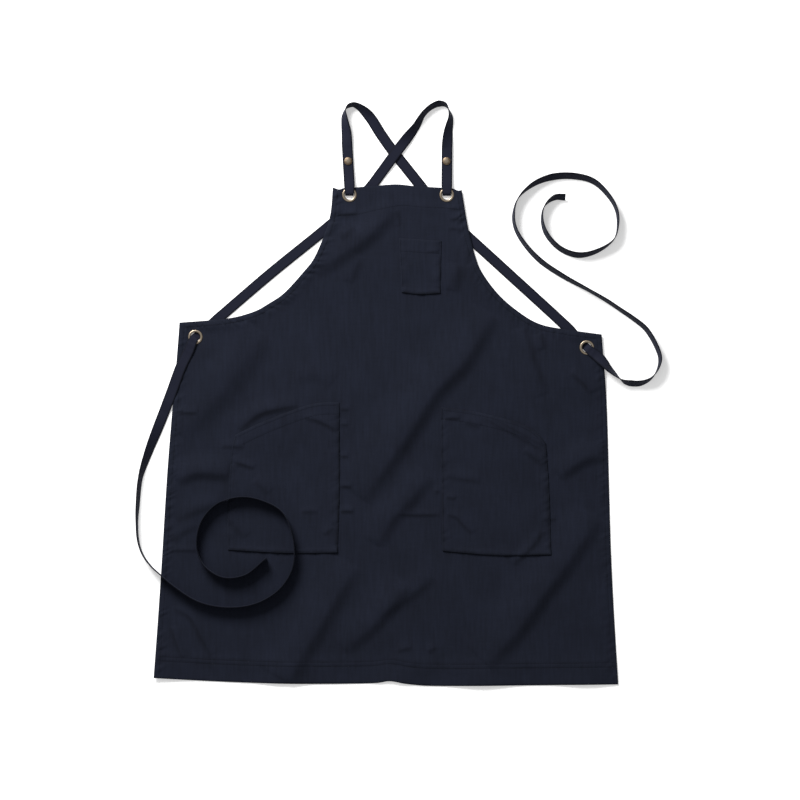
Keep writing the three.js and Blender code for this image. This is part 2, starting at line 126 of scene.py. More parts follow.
# Twill cloth. The panel and the pockets are one navy cotton twill: steep fine ribs, slightly uneven yarns
# that show as faint streaks both ways. Painted shade darkens the colour along sewn lines and edges and at
# the feet of folds and creases.
TWILL_COLOUR = (0.0066, 0.0083, 0.0157)
PAINTED_SHADE_STRENGTH = 0.75
RIB_PITCH = 1.1
STREAK = 0.6
MOTTLE = 0.55


def add_node(tree, kind, inputs=None, **settings):
    """A node with its inputs set from values or linked from other nodes' outputs."""
    node = tree.nodes.new(kind)
    for key, value in settings.items():
        setattr(node, key, value)
    for key, value in (inputs or {}).items():
        if isinstance(value, bpy.types.NodeSocket):
            tree.links.new(value, node.inputs[key])
        else:
            node.inputs[key].default_value = value
    return node


def math_node(tree, operation, *values):
    return add_node(tree, "ShaderNodeMath", dict(enumerate(values)), operation=operation).outputs[0]


def new_group(name, inputs, outputs):
    """A shader node group with named number sockets, and its input and output nodes."""
    group = bpy.data.node_groups.new(name, "ShaderNodeTree")
    for label, value in inputs:
        group.interface.new_socket(label, in_out="INPUT", socket_type="NodeSocketFloat").default_value = value
    for label in outputs:
        group.interface.new_socket(label, in_out="OUTPUT", socket_type="NodeSocketFloat")
    return group, group.nodes.new("NodeGroupInput"), group.nodes.new("NodeGroupOutput")


def stretched_noise(tree, place, stretch, detail=2.0):
    """Noise about zero, with a number of lumps in each metre along X, Y and Z."""
    scaled = add_node(tree, "ShaderNodeVectorMath", {0: place, 1: stretch}, operation="MULTIPLY").outputs[0]
    noise = add_node(tree, "ShaderNodeTexNoise", {"Vector": scaled, "Scale": 1.0, "Detail": detail})
    return math_node(tree, "SUBTRACT", noise.outputs[0], 0.5)


weave_group, weave_in, weave_out = new_group(
    "twill_weave", [("Pitch", RIB_PITCH * MM), ("Streak", STREAK), ("Mottle", MOTTLE)], ["Shade", "Relief"]
)
weave_place = weave_group.nodes.new("ShaderNodeTexCoord").outputs["Object"]
weave_axes = add_node(weave_group, "ShaderNodeSeparateXYZ", {0: weave_place}).outputs
rib_run = math_node(weave_group, "MULTIPLY", weave_axes["Y"], -0.55)
rib_run = math_node(weave_group, "ADD", weave_axes["X"], rib_run)
rib_phase = math_node(weave_group, "DIVIDE", rib_run, weave_in.outputs["Pitch"])
rib_phase = math_node(weave_group, "MULTIPLY", rib_phase, math.tau)
rib_wave = math_node(weave_group, "SINE", rib_phase)
pick_phase = math_node(weave_group, "DIVIDE", weave_axes["Y"], weave_in.outputs["Pitch"])
pick_wave = math_node(weave_group, "SINE", math_node(weave_group, "MULTIPLY", pick_phase, 1.7 * math.tau))
weave_relief = math_node(weave_group, "MULTIPLY_ADD", pick_wave, 0.35, rib_wave)
weave_group.links.new(weave_relief, weave_out.inputs["Relief"])
weft_streak = stretched_noise(weave_group, weave_place, (34.0, 300.0, 34.0), detail=3.0)
warp_streak = stretched_noise(weave_group, weave_place, (260.0, 24.0, 260.0), detail=3.0)
streaks = math_node(weave_group, "MULTIPLY_ADD", weft_streak, 0.4, warp_streak)
streaks = math_node(weave_group, "MULTIPLY", streaks, weave_in.outputs["Streak"])
mottle = stretched_noise(weave_group, weave_place, (16.0, 16.0, 16.0), detail=5.0)
mottle = math_node(weave_group, "MULTIPLY", mottle, weave_in.outputs["Mottle"])
shade = math_node(weave_group, "MULTIPLY_ADD", rib_wave, 0.05, 1.0)
shade = math_node(weave_group, "ADD", shade, streaks)
shade = math_node(weave_group, "ADD", shade, mottle)
weave_group.links.new(shade, weave_out.inputs["Shade"])

twill, twill_shader = new_material("navy_twill", TWILL_COLOUR, 0.88, specular=0.11)
twill_shader.inputs["Sheen Weight"].default_value = 0.04
twill_shader.inputs["Sheen Roughness"].default_value = 0.45
twill_shader.inputs["Sheen Tint"].default_value = (0.45, 0.52, 0.75, 1.0)
twill_tree = twill.node_tree
twill_weave = add_node(twill_tree, "ShaderNodeGroup", node_tree=weave_group)
# Painted shade, read from a point attribute, darkens the colour along sewn lines and edges and at fold feet.
painted_shade = add_node(twill_tree, "ShaderNodeAttribute", attribute_name="painted_shade").outputs["Fac"]
painted_shade = math_node(twill_tree, "MULTIPLY_ADD", painted_shade, PAINTED_SHADE_STRENGTH, 1.0)
painted_shade = math_node(twill_tree, "MULTIPLY", painted_shade, twill_weave.outputs["Shade"])
twill_colour = add_node(
    twill_tree, "ShaderNodeVectorMath", {0: TWILL_COLOUR, 1: painted_shade}, operation="MULTIPLY"
).outputs[0]
twill_tree.links.new(twill_colour, twill_shader.inputs["Base Color"])
twill_bump = add_node(
    twill_tree,
    "ShaderNodeBump",
    {"Height": twill_weave.outputs["Relief"], "Strength": 0.25, "Distance": 0.12 * MM},
)
twill_tree.links.new(twill_bump.outputs[0], twill_shader.inputs["Normal"])

# How the cloth lies. The laid apron isn't ironed: soft folds run from upper right to lower left, the hem and
# corners lift a little, and the bib stands on the straps behind it. The seams draw in short puckers.
CLOTH = 1.2
GAP = 0.3
SEAT = 3.6
SEAT_FLAT = 52
SEAT_FADE = 115
STILL = (26, 80)
RING_SEAT = (15, 32)
BIB_RAMP = (140, 250)
SETTLE = 0.6
FOOT = 0.4
FOLD_TAPER = 0.4

# Main folds as in the CAD part: height, half width of the upper left slope and of the lower right one, crest
FOLDS = [
    (7, 40, 17, [(16, 346), (-45, 286), (-81, 262), (-131, 228)]),
    (9, 50, 19, [(196, 148), (142, 59), (90, 5), (46, -63), (0, -130), (-46, -196)]),
    (6, 32, 16, [(80, -150), (42, -196), (10, -230), (-18, -282)]),
    (7, 45, 18, [(-60, -320), (-107, -400), (-156, -484), (-186, -536)]),
    (6, 35, 16, [(38, -352), (-14, -418), (-80, -476)]),
    (8, 45, 18, [(393, -228), (342, -304), (288, -376), (242, -440), (184, -502)]),
    (7, 45, 26, [(-230, 114), (-288, 30), (-322, -8), (-386, -76)]),
    (7, 26, 14, [(-290, -149), (-352, -145), (-390, -160)]),
    (6, 28, 14, [(410, -114), (380, -116), (340, -138), (320, -154)]),
]
# Places where the edge stands off the floor: x, y, height, radius
EDGE_LIFTS = [
    (-430, -530, 6, 60),
    (-190, -541, 4.5, 45),
    (15, -540, 4.5, 35),
    (180, -545, 6, 55),
    (375, -542, 5, 50),
]
# Small creases, with the same columns as the folds. The left of each crest line is its shaded slope.
CREASES = [
    (2.0, 18, 10, [(-50, 256), (-70, 206)]),
    (2.4, 22, 12, [(133, 240), (122, 190)]),
    (1.8, 14, 8, [(-60, 312), (-87, 290)]),
    (1.6, 9, 3.5, [(-53, 335), (-90, 333)]),
    (1.2, 9, 4, [(147, 343), (112, 346.5)]),
    (1.2, 8, 4, [(146, 325), (118, 325)]),
    (1.0, 7, 4, [(140, 307), (116, 307)]),
    (1.2, 9, 5, [(20, 342), (23, 309)]),
    (0.9, 6, 3.5, [(100, 265), (76, 264)]),
    (1.5, 8, 4, [(-349, -35), (-387, -35)]),
    (1.6, 22, 14, [(-98, 20), (-122, 36), (-172, 33)]),
    (3.4, 18, 7, [(-163, -20), (-200, -27), (-236, -37), (-274, -66)]),
    (2.0, 9, 5, [(-88, -69), (-121, -51), (-151, -43)]),
    (1.4, 9, 5, [(-262, -98), (-306, -97)]),
    (1.8, 8, 4.5, [(-243, -138), (-281, -126)]),
    (1.4, 12, 8, [(-213, -184), (-243, -159)]),
    (1.0, 7, 4, [(-124, -219), (-157, -219)]),
    (1.3, 8, 5, [(-98, -247), (-117, -263)]),
    (2.0, 18, 10, [(-302, -198), (-358, -217), (-392, -233)]),
    (1.8, 15, 9, [(-352, -243), (-379, -256), (-399, -273)]),
    (1.2, 7, 4, [(-347, -291), (-406, -291)]),
    (1.6, 14, 9, [(-256, -266), (-276, -245), (-292, -222)]),
    (0.9, 7, 4, [(304, -111), (243, -77), (183, -44)]),
    (0.8, 7, 4, [(296, -97), (240, -66), (196, -42)]),
    (1.4, 10, 6, [(178, -59), (146, -52)]),
    (2.0, 10, 7, [(297, -131), (259, -103)]),
    (1.5, 7, 4, [(140, -45), (109, -45)]),
    (1.5, 12, 7, [(178, -161), (113, -152)]),
    (1.2, 6, 4, [(132, -195), (113, -191)]),
    (1.8, 9, 5, [(163, -260), (148, -245), (131, -228), (113, -224)]),
    (1.5, 7, 4, [(103, -224), (62, -225), (20, -224)]),
    (1.0, 6, 4, [(103, -181), (90, -181)]),
    (1.1, 6, 4, [(-66, -29), (-85, -29)]),
    (1.1, 6, 4, [(-68, -57), (-85, -57)]),
    (1.3, 6, 4, [(-68, -116), (-85, -116)]),
    (1.6, 7, 4, [(-62, -172), (-85, -172)]),
    (1.8, 7, 4, [(-58, -218), (-85, -218)]),
    (2.0, 10, 6, [(292, -254), (270, -284), (235, -318)]),
    (1.1, 7, 4, [(319, -233), (291, -233)]),
    (2.8, 18, 10, [(252, 121), (263, 87), (272, 54), (294, -4)]),
    (1.9, 12, 8, [(284, 110), (291, 80)]),
    (1.9, 10, 6, [(386, 1), (362, 28), (345, 41)]),
    (1.2, 8, 5, [(94, -470), (77, -481)]),
    (1.2, 8, 5, [(50, -471), (21, -478)]),
    (2.0, 10, 6, [(-321, -487), (-339, -456), (-361, -416), (-393, -398)]),
    (1.7, 8, 5, [(-375, -492), (-386, -466), (-396, -434)]),
    (3.0, 22, 12, [(87, -338), (41, -375), (-15, -412)]),
]
LOW_WAVES = [(0.7, 95, 11), (0.32, 38, 12)]  # height, size from bump to bump, seed


def smooth_step(value, low, high):
    share = np.clip((value - low) / (high - low), 0, 1)
    return share * share * (3 - 2 * share)


def curve_through(points, step):
    """A smooth curve through rows of numbers, and at each of its points the row it has come to."""
    points = np.asarray(points, float)
    rows = np.vstack([2 * points[0] - points[1], points, 2 * points[-1] - points[-2]])
    found = []
    at_row = []
    for i in range(len(points) - 1):
        a, b, c, d = rows[i : i + 4]
        before, span, after = (max(np.linalg.norm(q - p), 1e-6) ** 0.5 for p, q in ((a, b), (b, c), (c, d)))
        start = ((b - a) / before - (c - a) / (before + span) + (c - b) / span) * span
        end = ((c - b) / span - (d - b) / (span + after) + (d - c) / after) * span
        parts = max(1, math.ceil(np.linalg.norm(c - b) / step))
        t = (np.arange(parts) / parts)[:, None]
        square = (3 * (c - b) - 2 * start - end) * t**2
        cube = (2 * (b - c) + start + end) * t**3
        found.append(b + start * t + square + cube)
        at_row.append(i + t[:, 0])
    return np.vstack([*found, points[-1:]]), np.append(np.concatenate(at_row), len(points) - 1)


def nearest_on(line, spots, reach):
    """How far spots are from a line, how far along it, and on which side: positive is to its left."""
    away = np.full(len(spots), np.inf)
    along = np.zeros(len(spots))
    side = np.zeros(len(spots))
    low, high = line.min(0) - reach, line.max(0) + reach
    some = np.flatnonzero(((spots > low) & (spots < high)).all(1))
    before = 0.0
    for a, b in zip(line, line[1:]):
        length = np.linalg.norm(b - a)
        way = (b - a) / length
        off = spots[some] - a
        run = np.clip(off @ way, 0, length)
        apart = np.linalg.norm(off - run[:, None] * way, axis=1)
        closer = apart < away[some]
        chosen = some[closer]
        away[chosen] = apart[closer]
        along[chosen] = before + run[closer]
        side[chosen] = (way[0] * off[:, 1] - way[1] * off[:, 0])[closer]
        before += length
    return away, along / before, side


def ridges(spots, rows):
    """Height of a table of folds at spots."""
    total = np.zeros(len(spots))
    for height, upper, lower, crest in rows:
        line = curve_through(crest, 8)[0]
        away, along, side = nearest_on(line, spots, 2.6 * upper)
        reach = np.where(side > 0, lower, upper)
        taper = np.sin(math.pi * np.clip(along, 0, 1)) ** FOLD_TAPER
        total += height * taper * np.exp(-((away / reach) ** 2))
    return total


def pinch(spots, rows):
    """How far the foot of each fold or crease in a table is shut from the light, from 0 to 1."""
    share = np.zeros(len(spots))
    for height, upper, lower, crest in rows:
        away, along, side = nearest_on(curve_through(crest, 8)[0], spots, 3 * lower)
        taper = np.sin(math.pi * np.clip(along, 0, 1)) ** FOLD_TAPER
        foot = np.exp(-(((np.where(side > 0, away, -away) - 0.8 * lower) / (0.6 * lower)) ** 2))
        share = np.maximum(share, taper * foot * min(1, 2 * height / lower))
    return share


def value_noise(spots, size, seed):
    """Smooth seeded noise from -1 to 1."""
    lattice = np.random.default_rng(seed).uniform(-1, 1, (64, 64))
    place = spots / size + 31.5
    cell = np.floor(place).astype(int)
    share = place - cell
    share = share**2 * (3 - 2 * share)
    i, j = cell[:, 0] % 63, cell[:, 1] % 63
    low = lattice[i, j] + (lattice[i + 1, j] - lattice[i, j]) * share[:, 0]
    high = lattice[i, j + 1] + (lattice[i + 1, j + 1] - lattice[i, j + 1]) * share[:, 0]
    return low + (high - low) * share[:, 1]


def centre_of(node):
    low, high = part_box(node)
    return np.array((low + high)[:2]) / (2 * MM)


EYELET_NODES = ["eyelet_bib_left", "eyelet_bib_right", "eyelet_waist_left", "eyelet_waist_right"]
eyelet_at = {node: centre_of(node) for node in EYELET_NODES}


def eyelet_nearness(spots, flat, fade):
    """1 where the cloth round an eyelet lies flat, falling to 0 at the distance fade."""
    near = np.zeros(len(spots))
    for at in eyelet_at.values():
        near = np.maximum(near, 1 - smooth_step(np.linalg.norm(spots - at, axis=1), flat, fade))
    return near


def laid_height(spots):
    """Height of the panel's underside over the floor."""
    raised = ridges(spots, FOLDS)
    for x, y, height, radius in EDGE_LIFTS:
        raised += height * np.exp(-(((spots - (x, y)) / radius) ** 2).sum(1))
    seat = np.maximum(smooth_step(spots[:, 1], *BIB_RAMP), eyelet_nearness(spots, SEAT_FLAT, SEAT_FADE))
    raised = raised * (1 - eyelet_nearness(spots, *STILL)) - SETTLE
    return (raised + np.sqrt(raised**2 + FOOT**2)) / 2 + SEAT * seat


def relief(spots):
    """Small creases and waves on top of the folds, which the pockets share with the panel under them."""
    total = ridges(spots, CREASES)
    for height, size, seed in LOW_WAVES:
        total += height * (0.5 + 0.5 * value_noise(spots, size, seed))
    return total * (1 - eyelet_nearness(spots, *RING_SEAT))


# Body panel. One cut piece of twill makes the bib and the skirt. Its edges are turned under and stitched,
# with a deep double-stitched hem and a stitched facing along the top of the bib.
PANEL_CORNER = 45
STRAIGHT_TURN = 0.03
EDGE_STEP = 3.0
PANEL_GRID = 3.6
UNDER_GRID = 13.0
# The edge tone column of the rim rows is the share of painted shade on each row.
RIM_ROWS = [(0.0, 0.0, 1.0), (0.3, 0.66, 1.0), (0.9, 0.97, 0.6)]  # inset, share of half thickness, edge tone
STITCH_PITCH = 3.2
STITCH_LENGTH = 2.6
STITCH_RADIUS = 0.27
STITCH_SIDES = 5
GROOVE = 0.7
GROOVE_REACH = 1.5
# How strong the painted shade is at the feet of the creases and of the main folds.
PINCH_PAINTED_SHADE = 0.62
FOLD_PAINTED_SHADE = 0.28
HEM_STITCHES = (32.7, 40.5)
SIDE_STITCH = 9.3
TURNED_EDGE = 0.2
SIDE_PUCKERS = (1.7, 2.4, 4.0, 2.2)  # right side, right and left armhole, left side
# How much painted shade lies along each edge and each stitch line of the panel.
PANEL_EDGE_PAINTED_SHADE = (0.15, 0.2, 0.35, 0.2, 0.4, 0.2)  # anticlockwise from the hem
PANEL_SEAM_PAINTED_SHADE = (0.5, 0.45, 0.2, 0.3, 0.35, 0.2, 0.15)  # two hem lines, four side lines, facing
FACING_STITCH = [
    (-92, 330), (-53, 332), (-25, 338.5), (1, 344), (29, 349), (64, 346), (112, 344), (145, 340),
]


def even_points(line, step):
    """The points of a line set evenly along it, about a step apart."""
    run = np.concatenate([[0], np.cumsum(np.linalg.norm(np.diff(line, axis=0), axis=1))])
    places = np.linspace(0, run[-1], max(2, round(run[-1] / step) + 1))
    return np.column_stack([np.interp(places, run, column) for column in line.T])


def cut_edges(node, first, corner):
    """The edges of a cloth node, anticlockwise from the corner furthest along first, and the rims of its
    holes, from the border of the faces that look up. A corner turns by more than that angle."""
    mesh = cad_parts[node].data
    mesh.calc_loop_triangles()
    corners = np.array([vertex.co for vertex in mesh.vertices]) / MM
    _, kept, same = np.unique(corners.round(3), axis=0, return_index=True, return_inverse=True)
    places = corners[kept]
    triangles = same.ravel()[np.array([triangle.vertices for triangle in mesh.loop_triangles])]
    a, b, c = (places[triangles[:, k]] for k in range(3))
    normal = np.cross(b - a, c - a)
    upward = triangles[normal[:, 2] > 0.5 * np.linalg.norm(normal, axis=1)]
    sides = {(t[k], t[(k + 1) % 3]) for t in upward for k in range(3)}
    follows = {start: end for start, end in sides if (end, start) not in sides}
    loops = []
    while follows:
        at = next(iter(follows))
        loop = []
        while at in follows:
            loop.append(places[at, :2])
            at = follows.pop(at)
        loop = np.array(loop)
        before, after = loop - np.roll(loop, 1, 0), np.roll(loop, -1, 0) - loop
        turn = np.degrees(np.arctan2(np.cross(before, after), (before * after).sum(1)))
        keep = abs(turn) > STRAIGHT_TURN
        loops.append((loop[keep], turn[keep]))
    loops.sort(key=lambda loop: -np.ptp(loop[0][:, 0]))
    outline, turn = loops[0]
    bends = np.flatnonzero(abs(turn) > corner)
    start = bends[np.argmax(outline[bends] @ first)]
    outline = np.roll(outline, -start, 0)
    bends = np.append(np.sort((bends - start) % len(outline)), len(outline))
    outline = np.vstack([outline, outline[:1]])
    edges = [
        even_points(curve_through(outline[low : high + 1], 1.0)[0], EDGE_STEP)
        for low, high in zip(bends, bends[1:])
    ]
    return edges, [loop for loop, _ in loops[1:]]


def inset_line(line, distance, trims=(0, 0)):
    """A line moved to its left, with its ends shortened."""
    way = np.gradient(line, axis=0)
    way /= np.linalg.norm(way, axis=1)[:, None]
    moved = line + distance * np.column_stack([-way[:, 1], way[:, 0]])
    run = np.concatenate([[0], np.cumsum(np.linalg.norm(np.diff(moved, axis=0), axis=1))])
    kept = (run >= trims[0]) & (run <= run[-1] - trims[1])
    return even_points(moved[kept], EDGE_STEP)


def inside(outline, spots):
    """Whether spots are inside a closed outline."""
    crossings = np.zeros(len(spots), int)
    for (ax, ay), (bx, by) in zip(outline, np.roll(outline, -1, 0)):
        if ay != by:
            spans = (ay > spots[:, 1]) != (by > spots[:, 1])
            crossings += spans & (spots[:, 0] < ax + (bx - ax) * (spots[:, 1] - ay) / (by - ay))
    return crossings % 2 == 1


def filled_plan(outline, holes, fixed, grid):
    """Flat triangles over an outline with holes, through fixed points and a staggered grid between them."""
    low, high = outline.min(0), outline.max(0)
    rows = np.arange(low[1], high[1], grid * 0.866)
    columns = np.arange(low[0], high[0], grid)
    spots = np.array([(x + grid / 2 * (j % 2), y) for j, y in enumerate(rows) for x in columns])
    spots = spots[inside(outline, spots)]
    for hole in holes:
        spots = spots[~inside(hole, spots)]
    loops = [outline, *holes]
    known = np.vstack([*loops, *fixed])
    tree = KDTree(len(known))
    for i, (x, y) in enumerate(known):
        tree.insert((x, y, 0), i)
    tree.balance()
    clear = [tree.find((x, y, 0))[2] > 0.6 * grid for x, y in spots]
    plan = np.vstack([known, spots[clear]])
    border = []
    first = 0
    for loop in loops:
        count = len(loop)
        border += [(first + i, first + (i + 1) % count) for i in range(count)]
        first += count
    found, _, faces, origin, _, _ = delaunay_2d_cdt([Vector(p) for p in plan], border, [], 1, 1e-5)
    order = np.array([ids[0] if ids else -1 for ids in origin])
    plan = np.array([tuple(p) for p in found])
    faces = np.array([tuple(face) for face in faces])
    for hole in holes:
        faces = faces[~inside(hole, plan[faces].mean(1))]
    return plan, faces, order, first


def cloth_object(name, edges, holes, rows, top, under, painted_shade, grid):
    """A closed sheet of cloth with a soft rim: a fine upper layer on top() and a plain one on under()."""
    outline = np.vstack([edge[:-1] for edge in edges])
    closed = np.vstack([outline[-1:], outline, outline[:1]])
    rims = [inset_line(closed, inset)[1:-1] for inset, _, _ in RIM_ROWS[1:]]
    rims = [rim[inside(outline, rim)] for rim in rims]
    rim_counts = [len(outline) + sum(len(hole) for hole in holes), *(len(rim) for rim in rims)]
    fullness = np.repeat([row[1] for row in RIM_ROWS], rim_counts)
    edging = np.repeat([row[2] for row in RIM_ROWS], rim_counts)
    rows = [row[inside(outline, row)] for row in rows]

    def layer(fixed, cell):
        plan, faces, order, border = filled_plan(outline, holes, fixed, cell)
        known = (order >= 0) & (order < len(fullness))
        full = np.ones(len(plan))
        full[known] = fullness[order[known]]
        edge_share = np.zeros(len(plan))
        edge_share[known] = edging[order[known]]
        a, b, c = (plan[faces[:, k]] for k in range(3))
        back = np.cross(b - a, c - a) < 0
        faces[back] = faces[back][:, ::-1]
        return plan, faces, order, border, full, edge_share

    plan, faces, order, border, full, edge_share = layer([*rims, *rows], grid)
    high, low = top(plan), under(plan)
    upper = np.column_stack([plan, (high + low) / 2 + full * (high - low) / 2])
    edge_index = {order[i]: i for i in range(len(order)) if 0 <= order[i] < border}
    plan2, faces2, order2, _, full2, _ = layer(rims, UNDER_GRID)
    high2, low2 = top(plan2), under(plan2)
    lower = np.column_stack([plan2, (high2 + low2) / 2 - full2 * (high2 - low2) / 2])
    inner = np.array([not 0 <= o < border for o in order2])
    index = np.zeros(len(plan2), int)
    index[inner] = len(upper) + np.arange(inner.sum())
    index[~inner] = [edge_index[o] for o in order2[~inner]]
    points = np.vstack([upper, lower[inner]])
    cloth = mesh_object(name, points, [*faces.tolist(), *index[faces2[:, ::-1]].tolist()], twill)
    # Painted shade for each upper point, stored as a point attribute that the twill's colour reads.
    painted_shades = np.concatenate([painted_shade(plan, edge_share), np.zeros(inner.sum())])
    cloth.data.attributes.new("painted_shade", "FLOAT", "POINT").data.foreach_set("value", painted_shades)
    return cloth


def stitch_object(name, lines, top, seed):
    """Rows of short stitches along lines on the cloth, half sunk in it, as one mesh."""
    chance = np.random.default_rng(seed)
    points = []
    faces = []
    for line in lines:
        line = even_points(line, STITCH_PITCH)
        middles = (line[1:] + line[:-1]) / 2
        ways = np.diff(line, axis=0)
        ways /= np.linalg.norm(ways, axis=1)[:, None]
        skew = chance.normal(0, 0.08, len(ways))
        ways = np.column_stack([ways[:, 0] - skew * ways[:, 1], ways[:, 1] + skew * ways[:, 0]])
        ends = [top(middles + ways * STITCH_LENGTH * share) for share in (-0.5, 0.5)]
        heights = top(middles)
        for middle, way, height, back, front in zip(middles, ways, heights, *ends):
            base = len(points)
            slope = (front - back) / STITCH_LENGTH
            across = np.array([-way[1], way[0], 0])
            along = np.array([way[0], way[1], slope])
            centre = np.array([*middle, height + 0.1])
            points.append(centre - along * STITCH_LENGTH / 2 - (0, 0, 0.2))
            for share in (-0.26, 0.26):
                for k in range(STITCH_SIDES):
                    angle = math.tau * k / STITCH_SIDES
                    ring = across * math.cos(angle) + np.array([0, 0, math.sin(angle)])
                    points.append(centre + along * STITCH_LENGTH * share + ring * STITCH_RADIUS)
            points.append(centre + along * STITCH_LENGTH / 2 - (0, 0, 0.2))
            tip = len(points) - 1
            for k in range(STITCH_SIDES):
                a, b = base + 1 + k, base + 1 + (k + 1) % STITCH_SIDES
                c, d = a + STITCH_SIDES, b + STITCH_SIDES
                faces += [(base, a, b), (a, c, d, b), (tip, d, c)]
    return mesh_object(name, points, faces, thread)


def beside(lines, offsets=(-1.3, 0.0, 1.3)):
    """Rows of points on and beside lines, so that the mesh can follow what the stitches draw in."""
    return [inset_line(line, offset) for line in lines for offset in offsets]


def grooves(spots, lines):
    """How far stitch lines draw the cloth in. Each line comes with its share of the full depth."""
    depth = np.zeros(len(spots))
    for line, share in lines:
        away = nearest_on(line, spots, 3 * GROOVE_REACH)[0]
        depth = np.maximum(depth, GROOVE * share * np.exp(-((away / GROOVE_REACH) ** 2)))
    return depth


def puckers(spots, line, height, size, reach, seed):
    """Short ripples across a sewn line, dying out on both sides of it."""
    away, along, side = nearest_on(line, spots, 2.5 * reach)
    length = np.linalg.norm(np.diff(line, axis=0), axis=1).sum()
    slant = np.where(np.isfinite(away), away, 0) * np.sign(side) * 0.5
    beat = value_noise(np.column_stack([along * length + slant, 0.4 * slant]), size, seed)
    return height * abs(beat) ** 0.7 * np.exp(-((away / reach) ** 2))


def painted_seam_shade(edges, lines, seed):
    """The painted shade of a sewn piece: dark at the feet of its folds and creases and along its edges and
    stitch lines, where shade falls. Each edge and line comes with a share of its own, which changes in
    patches along it."""

    def painted_shade(spots, edge_share):
        dark = np.zeros(len(spots))
        rim = np.flatnonzero(edge_share)
        nearest = np.argmin([nearest_on(edge, spots[rim], 4)[0] for edge, _ in edges], axis=0)
        dark[rim] = edge_share[rim] * np.array([share for _, share in edges])[nearest]
        for line, share in lines:
            away = nearest_on(line, spots, 3 * GROOVE_REACH)[0]
            dark = np.maximum(dark, share * np.exp(-((away / (0.8 * GROOVE_REACH)) ** 2)))
        patch = 0.85 + 0.6 * value_noise(spots, 21, seed) + 0.25 * value_noise(spots, 7, seed + 1)
        dark *= np.clip(patch, 0.15, 1.2)
        dark = np.maximum(dark, PINCH_PAINTED_SHADE * pinch(spots, CREASES))
        return -np.clip(np.maximum(dark, FOLD_PAINTED_SHADE * pinch(spots, FOLDS)), 0, 1)

    return painted_shade


thread, _ = new_material("navy_thread", (0.0050, 0.0062, 0.0115), 0.8, specular=0.09)

panel_edges, panel_holes = cut_edges("body_panel", (-1, -1), PANEL_CORNER)
hem, right_side, right_arm, _, left_arm, left_side = panel_edges
facing = even_points(curve_through(FACING_STITCH, 2.0)[0], EDGE_STEP)
hem_lines = [inset_line(hem, offset, (4, 4)) for offset in HEM_STITCHES]
side_lines = [inset_line(edge, SIDE_STITCH, (8, 8)) for edge in (right_side, right_arm, left_arm, left_side)]
panel_lines = [*hem_lines, *side_lines, facing]
panel_seams = list(zip(panel_lines, PANEL_SEAM_PAINTED_SHADE))
crease_rows = [
    inset_line(curve_through(crest, 2.0)[0], offset * lower)
    for _, _, lower, crest in CREASES
    for offset in (-0.6, 0.0, 0.6, 1.2)
]


def panel_top(spots):
    """Height of the panel's upper face."""
    height = laid_height(spots) + relief(spots) + CLOTH
    fold = HEM_STITCHES[1]
    height += TURNED_EDGE * smooth_step(-nearest_on(hem, spots, 45)[0], -fold - 1, -fold + 2)
    for i, (edge, line) in enumerate(zip((right_side, right_arm, left_arm, left_side), side_lines)):
        away = nearest_on(edge, spots, 14)[0]
        height += TURNED_EDGE * smooth_step(-away, -SIDE_STITCH - 1, -SIDE_STITCH + 2)
        height += puckers(spots, line, SIDE_PUCKERS[i], 8, 10, 40 + i)
    for i, line in enumerate(hem_lines):
        height += puckers(spots, line, 1.2, 20, 11, 50 + i)
    height += puckers(spots, facing, 1.3, 22, 10, 60)
    return height - grooves(spots, panel_seams)


body_panel = cloth_object(
    "laid_panel",
    panel_edges,
    panel_holes,
    [*beside(panel_lines), *beside(side_lines, (-6, -3.6, 3.6, 6, 9)), *crease_rows],
    panel_top,
    laid_height,
    painted_seam_shade(list(zip(panel_edges, PANEL_EDGE_PAINTED_SHADE)), panel_seams, 81),
    PANEL_GRID,
)
panel_stitches = stitch_object("panel_stitches", panel_lines, panel_top, 21)
for piece in (body_panel, panel_stitches):
    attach(piece, "root")
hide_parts("body_panel")

# Pockets. Each is one layer of the same twill with its edges turned under, laid on the panel and stitched
# down close to the edge on three sides. The mouth has a stitched hem of its own, and the hip mouths gape a
# little.
POCKET_CORNER = 25
POCKET_GRID = 3.4
SEAM_STITCH = 2.6
SEAM_RISE = (-0.5, 1.0, -0.5)  # outer or left seam, bottom, inner or right seam
GAPE_HEIGHT = 3.5
GAPE_REACH = 55
# Pocket: its gape's middle, its mouth's stitch lines, how much painted shade lies along its mouth and its
# three seams, the flat width and length of its cloth and its area
POCKETS = {
    "bib_pocket": (None, (24,), (0.3, 0.15, 1.0, 0.75), (0.079, 0.105), 0.0077),
    "hip_pocket_left": ((-215, -50), (5.5, 22), (0.5, 0.3, 1.0, 0.8), (0.208, 0.282), 0.0525),
    "hip_pocket_right": ((235, -55), (5.5, 22), (0.5, 0.55, 1.0, 0.8), (0.206, 0.277), 0.0508),
}
pocket_edges = {node: cut_edges(node, (1, 1), POCKET_CORNER)[0] for node in POCKETS}


def pocket_under(node):
    """The height of a pocket's underside, as a function of place."""
    gape_at = POCKETS[node][0]

    def under(spots):
        height = laid_height(spots) + CLOTH + GAP
        if gape_at:
            apart = np.linalg.norm(spots - gape_at, axis=1) / GAPE_REACH
            height += GAPE_HEIGHT * np.exp(-(apart**2))
        return height

    return under


